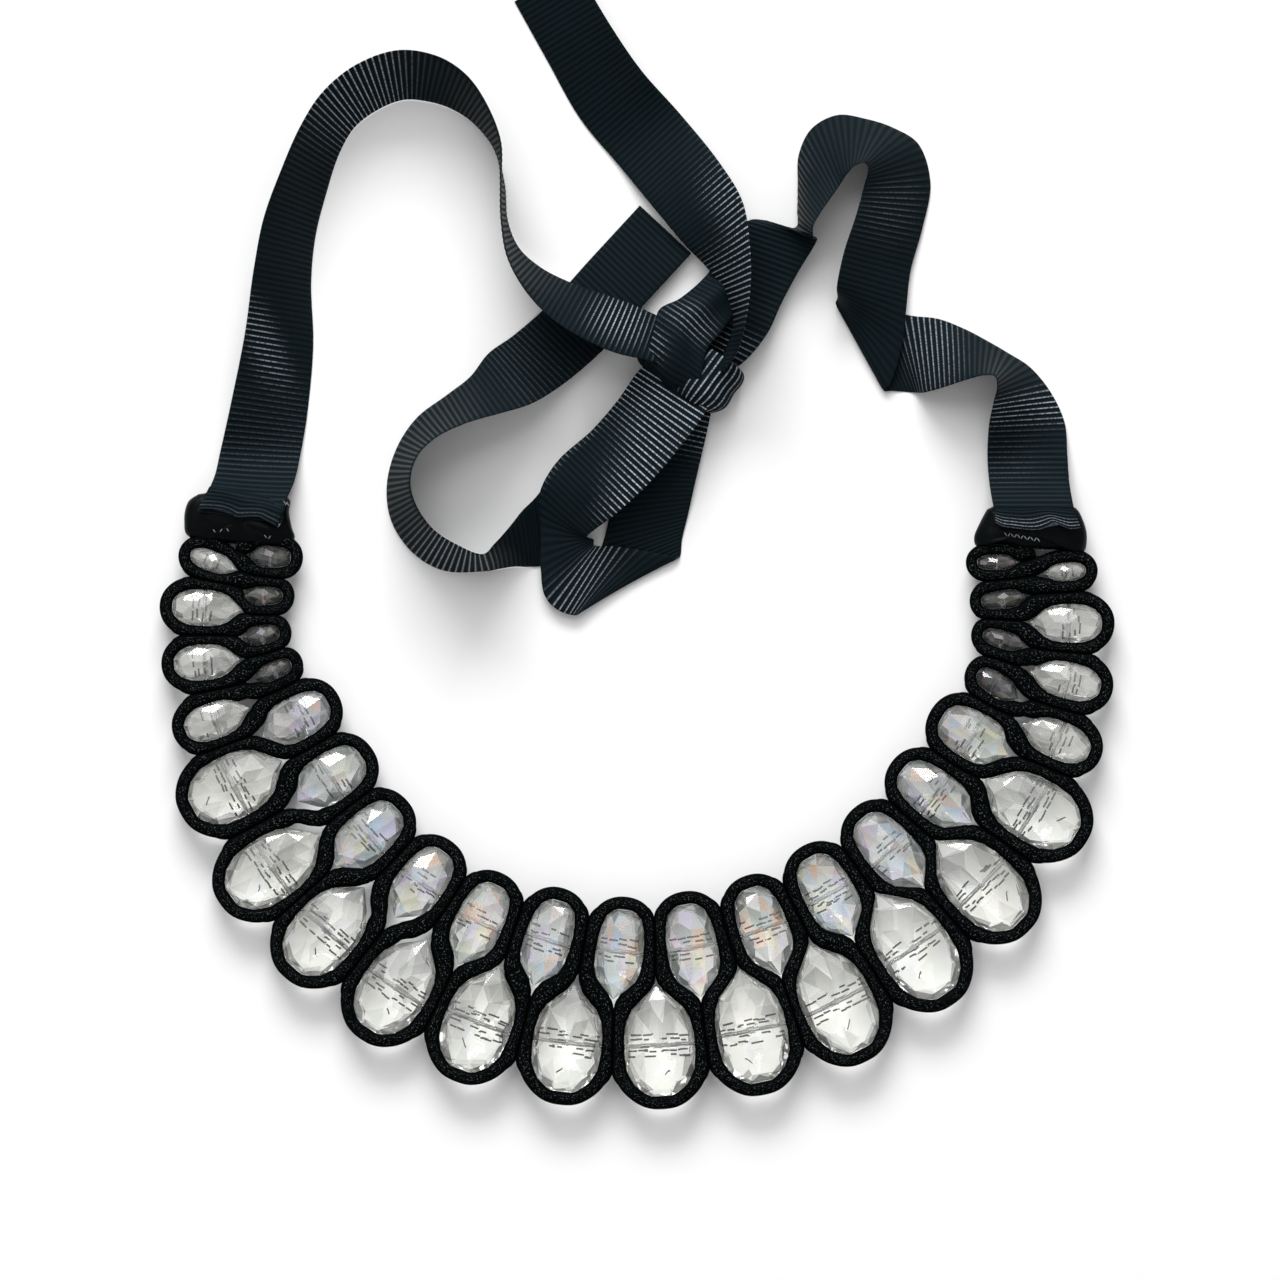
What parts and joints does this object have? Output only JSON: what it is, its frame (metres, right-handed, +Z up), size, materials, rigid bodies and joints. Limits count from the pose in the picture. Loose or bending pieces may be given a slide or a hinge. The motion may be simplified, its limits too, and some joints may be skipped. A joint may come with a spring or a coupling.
{
  "type": "crystal choker necklace",
  "caption": "Bib-shaped choker of faceted crystal drops held side by side in one winding black cord, with gathered ends and grosgrain ties knotted in a bow, lying flat.",
  "frame": {"origin": "middle of the necklace's box in plan, on the surface that it lies on", "axes": "+X across the bib from its left end to its right end, +Y from the bib's drop towards the ribbon's tails, +Z up off the surface"},
  "size_m": [0.238, 0.2854, 0.0234],
  "materials": {
    "clear_crystal": "clear cut glass, polished facets",
    "iridescent_crystal": "cut glass with a thin iridescent coat, polished facets",
    "velvet_cord": "soft napped braid, matt",
    "satin_end": "satin gathered in folds, low sheen",
    "grosgrain_ribbon": "ribbed weave, slight sheen on the ribs"
  },
  "bodies": {
    "root": {"outer_bead_01": "clear_crystal", "outer_bead_02": "clear_crystal", "outer_bead_03": "clear_crystal", "outer_bead_04": "clear_crystal", "outer_bead_05": "clear_crystal", "outer_bead_06": "clear_crystal", "outer_bead_07": "clear_crystal", "outer_bead_08": "clear_crystal", "outer_bead_09": "clear_crystal", "outer_bead_10": "clear_crystal", "outer_bead_11": "clear_crystal", "outer_bead_12": "clear_crystal", "outer_bead_13": "clear_crystal", "outer_bead_14": "clear_crystal", "outer_bead_15": "clear_crystal", "outer_bead_16": "clear_crystal", "outer_bead_17": "clear_crystal", "outer_bead_18": "clear_crystal", "outer_bead_19": "clear_crystal", "outer_bead_20": "clear_crystal", "inner_bead_01": "iridescent_crystal", "inner_bead_02": "iridescent_crystal", "inner_bead_03": "iridescent_crystal", "inner_bead_04": "iridescent_crystal", "inner_bead_05": "iridescent_crystal", "inner_bead_06": "iridescent_crystal", "inner_bead_07": "iridescent_crystal", "inner_bead_08": "iridescent_crystal", "inner_bead_09": "iridescent_crystal", "inner_bead_10": "iridescent_crystal", "inner_bead_11": "iridescent_crystal", "inner_bead_12": "iridescent_crystal", "inner_bead_13": "iridescent_crystal", "inner_bead_14": "iridescent_crystal", "inner_bead_15": "iridescent_crystal", "inner_bead_16": "iridescent_crystal", "inner_bead_17": "iridescent_crystal", "inner_bead_18": "iridescent_crystal", "inner_bead_19": "iridescent_crystal", "inner_bead_20": "iridescent_crystal", "inner_bead_21": "iridescent_crystal", "cord_1": "velvet_cord", "cord_2": "velvet_cord", "cord_3": "velvet_cord", "cord_4": "velvet_cord", "cord_5": "velvet_cord", "cord_6": "velvet_cord", "gathered_end_left": "satin_end", "gathered_end_right": "satin_end", "left_tie": "grosgrain_ribbon", "right_tie": "grosgrain_ribbon", "short_tail": "grosgrain_ribbon", "long_tail": "grosgrain_ribbon", "bow_loop": "grosgrain_ribbon", "knot": "grosgrain_ribbon"}
  },
  "joints": []
}
